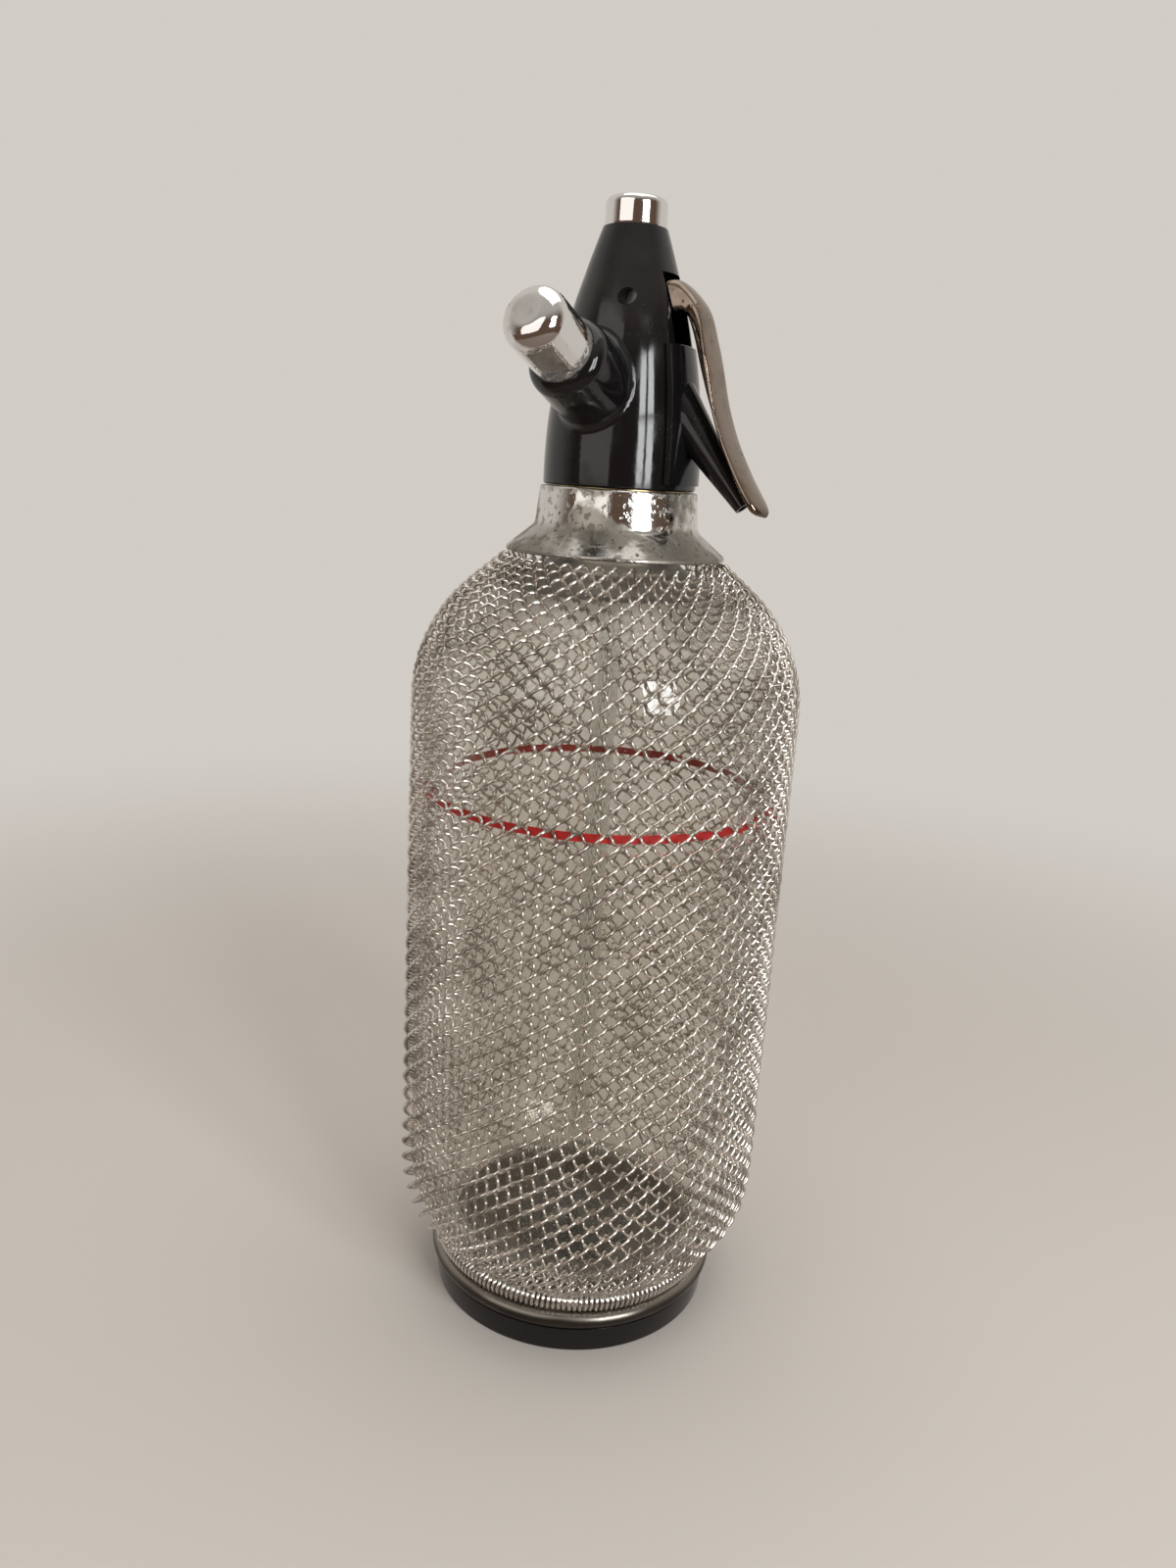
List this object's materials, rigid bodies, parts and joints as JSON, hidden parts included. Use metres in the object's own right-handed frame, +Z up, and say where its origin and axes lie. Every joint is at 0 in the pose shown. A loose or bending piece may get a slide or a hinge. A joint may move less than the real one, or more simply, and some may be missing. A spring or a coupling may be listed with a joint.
{
  "type": "soda_siphon",
  "caption": "Free-standing soda siphon: glass bottle in a wire-mesh sleeve, metal neck collar, black head with lever, spout and charging boss",
  "frame": {"origin": "centre of the foot's bottom face, on the table", "axes": "Z up the bottle, X towards the lever and spout, -Y towards the charging boss"},
  "size_m": [0.1304, 0.1304, 0.373],
  "materials": {
    "moulded_black": "glossy black moulding, lightly worn",
    "bright_wire": "bright drawn wire",
    "mesh_wire": "woven light-metal wire, dulled",
    "bottle_glass": "clear glass",
    "plain_steel": "plain",
    "worn_chrome": "worn and pitted plating",
    "bright_chrome": "polished, light wear",
    "lever_chrome": "polished, worn along the edges",
    "black_rubber": "matte",
    "plain_brass": "turned",
    "clear_tube": "translucent tube"
  },
  "bodies": {
    "bottle": {"foot": "moulded_black", "base_ring": "moulded_black", "garter_spring": "bright_wire", "mesh_sleeve": "mesh_wire", "glass_bottle": "bottle_glass", "clamp_ring": "plain_steel", "neck_collar": "worn_chrome", "neck_seal": "black_rubber"},
    "head": {"head_body": "moulded_black", "head_ferrule": "plain_brass", "nozzle": "moulded_black", "valve_body": "plain_brass", "valve_seat": "plain_brass", "stem_seal": "black_rubber", "gland_nut": "plain_brass", "valve_spring": "plain_steel", "top_cap": "bright_chrome", "lever_pin": "plain_steel", "dip_tube": "clear_tube", "tube_nut": "plain_brass", "charge_nipple": "plain_brass", "nipple_seal": "black_rubber", "pierce_pin": "plain_steel", "check_sleeve": "black_rubber"},
    "lever": {"lever": "lever_chrome"},
    "stem": {"valve_stem": "plain_steel", "stem_nut": "plain_brass", "valve_washer": "black_rubber"},
    "charger_cap": {"charger_cap": "bright_chrome", "cap_gasket": "black_rubber"}
  },
  "joints": [
    {"name": "head_lift", "type": "slide", "parent": "bottle", "child": "head", "axis": [0, 0, 1], "range_m": [0, 0.26]},
    {"name": "lever_pivot", "type": "hinge", "parent": "head", "child": "lever", "pos_m": [0.0073, 0, 0.343], "axis": [0, -1, 0], "range_deg": [0, 10]},
    {"name": "stem_slide", "type": "slide", "parent": "head", "child": "stem", "axis": [0, 0, -1], "range_m": [0, 0.0013], "deforming": ["valve_spring"]},
    {"name": "charger_cap_lift", "type": "slide", "parent": "head", "child": "charger_cap", "axis": [0, -0.9063, 0.4226], "range_m": [0, 0.02]}
  ],
  "couplings": [
    {"joint": "stem_slide", "follows": "lever_pivot", "m_per_rad": 0.0073}
  ]
}
